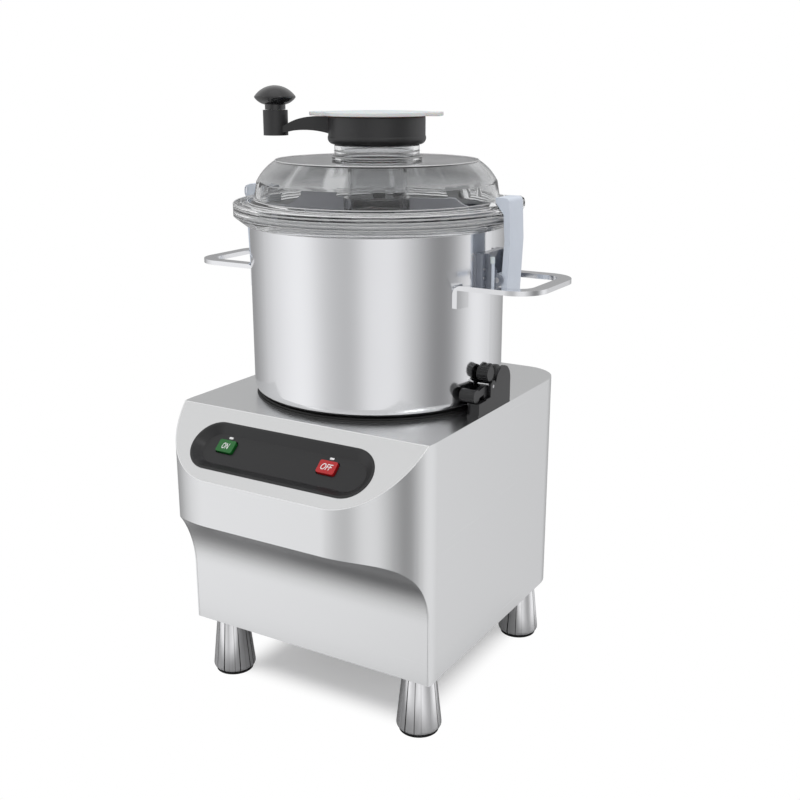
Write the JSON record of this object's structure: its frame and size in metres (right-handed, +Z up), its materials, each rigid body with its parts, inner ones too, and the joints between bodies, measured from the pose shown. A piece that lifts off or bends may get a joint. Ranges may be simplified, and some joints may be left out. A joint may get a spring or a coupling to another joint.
{
  "type": "commercial food chopper",
  "caption": "Counter-top bowl cutter: steel housing on legs, lift-off steel bowl with knives, clear latched lid with a scraper crank and feed chute.",
  "frame": {"origin": "on the floor under the centre of the housing footprint", "axes": "+Z up, +X to the right of the machine, the control panel faces -Y"},
  "size_m": [0.372, 0.343, 0.5732],
  "materials": {
    "brushed_steel": "brushed stainless steel sheet",
    "polished_steel": "polished stainless steel",
    "bare_steel": "machined steel",
    "cast_metal": "cast aluminium",
    "black_plastic": "satin moulded plastic",
    "black_gloss": "gloss moulded plastic",
    "dish_plastic": "matte black moulded plastic",
    "green_plastic": "satin moulded plastic",
    "red_plastic": "satin moulded plastic",
    "lamp_plastic": "frosted lamp window",
    "white_plastic": "satin moulded plastic",
    "grey_blue_plastic": "satin moulded plastic",
    "clear_plastic": "clear moulded polycarbonate",
    "rubber": "black rubber",
    "gasket_rubber": "translucent silicone",
    "board": "circuit board",
    "motor_paint": "satin paint",
    "winding": "varnished copper winding"
  },
  "bodies": {
    "base": {"housing_shell": "brushed_steel", "front_panel": "brushed_steel", "bottom_plate": "brushed_steel", "leg_front_left": "polished_steel", "leg_front_right": "polished_steel", "leg_rear_left": "polished_steel", "leg_rear_right": "polished_steel", "leg_pads": "rubber", "leg_studs": "bare_steel", "leg_nuts": "bare_steel", "control_dish": "dish_plastic", "on_lamp": "lamp_plastic", "off_lamp": "lamp_plastic", "switch_board": "board", "seat_ring": "rubber", "motor_plate": "cast_metal", "motor_bolts": "bare_steel", "motor_frame": "motor_paint", "motor_end_cap": "cast_metal", "stator": "winding", "upper_bearing": "bare_steel", "lower_bearing": "bare_steel", "shaft_seal": "rubber", "capacitor": "motor_paint", "capacitor_clip": "bare_steel", "contactor_box": "white_plastic", "cable_gland": "black_plastic", "catch_bracket": "black_plastic", "catch_pin": "bare_steel"},
    "rotor": {"motor_shaft": "bare_steel", "rotor_core": "cast_metal", "motor_fan": "black_plastic"},
    "bowl": {"bowl_shell": "polished_steel", "handle_right": "polished_steel", "handle_left": "polished_steel", "latch_bracket_right": "grey_blue_plastic", "latch_bracket_left": "grey_blue_plastic", "latch_pin_right": "bare_steel", "latch_pin_left": "bare_steel"},
    "cutter": {"knife_hub": "bare_steel", "lower_knife": "polished_steel", "upper_knife": "polished_steel", "knife_spacer": "bare_steel", "knife_clamp": "bare_steel", "hub_cap": "black_plastic"},
    "lid": {"lid_shell": "clear_plastic", "lid_neck": "clear_plastic", "lid_gasket": "gasket_rubber"},
    "latch_right_lever": {"latch_right": "grey_blue_plastic"},
    "latch_left_lever": {"latch_left": "grey_blue_plastic"},
    "crank": {"crank_ring": "black_plastic", "feed_chute": "clear_plastic", "knob_spindle": "bare_steel", "scraper_frame": "grey_blue_plastic", "scraper_wipers": "gasket_rubber"},
    "knob": {"crank_knob": "black_gloss"},
    "feed_cover": {"feed_lid": "white_plastic"},
    "on_button_cap": {"on_button": "green_plastic"},
    "off_button_cap": {"off_button": "red_plastic"},
    "catch": {"catch_lever": "black_plastic"}
  },
  "joints": [
    {"name": "motor_spin", "type": "hinge", "parent": "base", "child": "rotor", "pos_m": [0, 0.0208, 0.18], "axis": [0, 0, 1], "continuous": true},
    {"name": "bowl_lift", "type": "slide", "parent": "base", "child": "bowl", "axis": [0, 0, 1], "range_m": [0, 0.12]},
    {"name": "cutter_spin", "type": "hinge", "parent": "bowl", "child": "cutter", "pos_m": [0, 0.0208, 0.33], "axis": [0, 0, 1], "continuous": true},
    {"name": "lid_lift", "type": "slide", "parent": "bowl", "child": "lid", "axis": [0, 0, 1], "range_m": [0, 0.07]},
    {"name": "latch_right_swing", "type": "hinge", "parent": "bowl", "child": "latch_right_lever", "pos_m": [0.134, 0.0208, 0.408], "axis": [0, 1, 0], "range_deg": [0, 65]},
    {"name": "latch_left_swing", "type": "hinge", "parent": "bowl", "child": "latch_left_lever", "pos_m": [-0.134, 0.0208, 0.408], "axis": [0, -1, 0], "range_deg": [0, 65]},
    {"name": "crank_turn", "type": "hinge", "parent": "lid", "child": "crank", "pos_m": [0, 0.0208, 0.53], "axis": [0, 0, 1], "continuous": true},
    {"name": "knob_spin", "type": "hinge", "parent": "crank", "child": "knob", "pos_m": [-0.09115, -0.01238, 0.56], "axis": [0, 0, 1], "continuous": true},
    {"name": "feed_lid_lift", "type": "slide", "parent": "crank", "child": "feed_cover", "axis": [0, 0, 1], "range_m": [0, 0.03]},
    {"name": "on_button_press", "type": "slide", "parent": "base", "child": "on_button_cap", "axis": [0, 0.6459, -0.7634], "range_m": [0, 0.0015], "stiffness_N_per_m": 300, "springref_m": -0.001},
    {"name": "off_button_press", "type": "slide", "parent": "base", "child": "off_button_cap", "axis": [0, 0.6459, -0.7634], "range_m": [0, 0.0015], "stiffness_N_per_m": 300, "springref_m": -0.001},
    {"name": "catch_swing", "type": "hinge", "parent": "base", "child": "catch", "pos_m": [0.127, 0.006, 0.31], "axis": [-1, 0, 0], "range_deg": [0, 25], "stiffness_Nm_per_rad": 0.05, "springref_deg": -20.05}
  ],
  "couplings": [
    {"joint": "cutter_spin", "follows": "motor_spin", "ratio": 1},
    {"joint": "latch_right_swing", "follows": "lid_lift", "rad_per_m": 16.202},
    {"joint": "latch_left_swing", "follows": "lid_lift", "rad_per_m": 16.202}
  ]
}
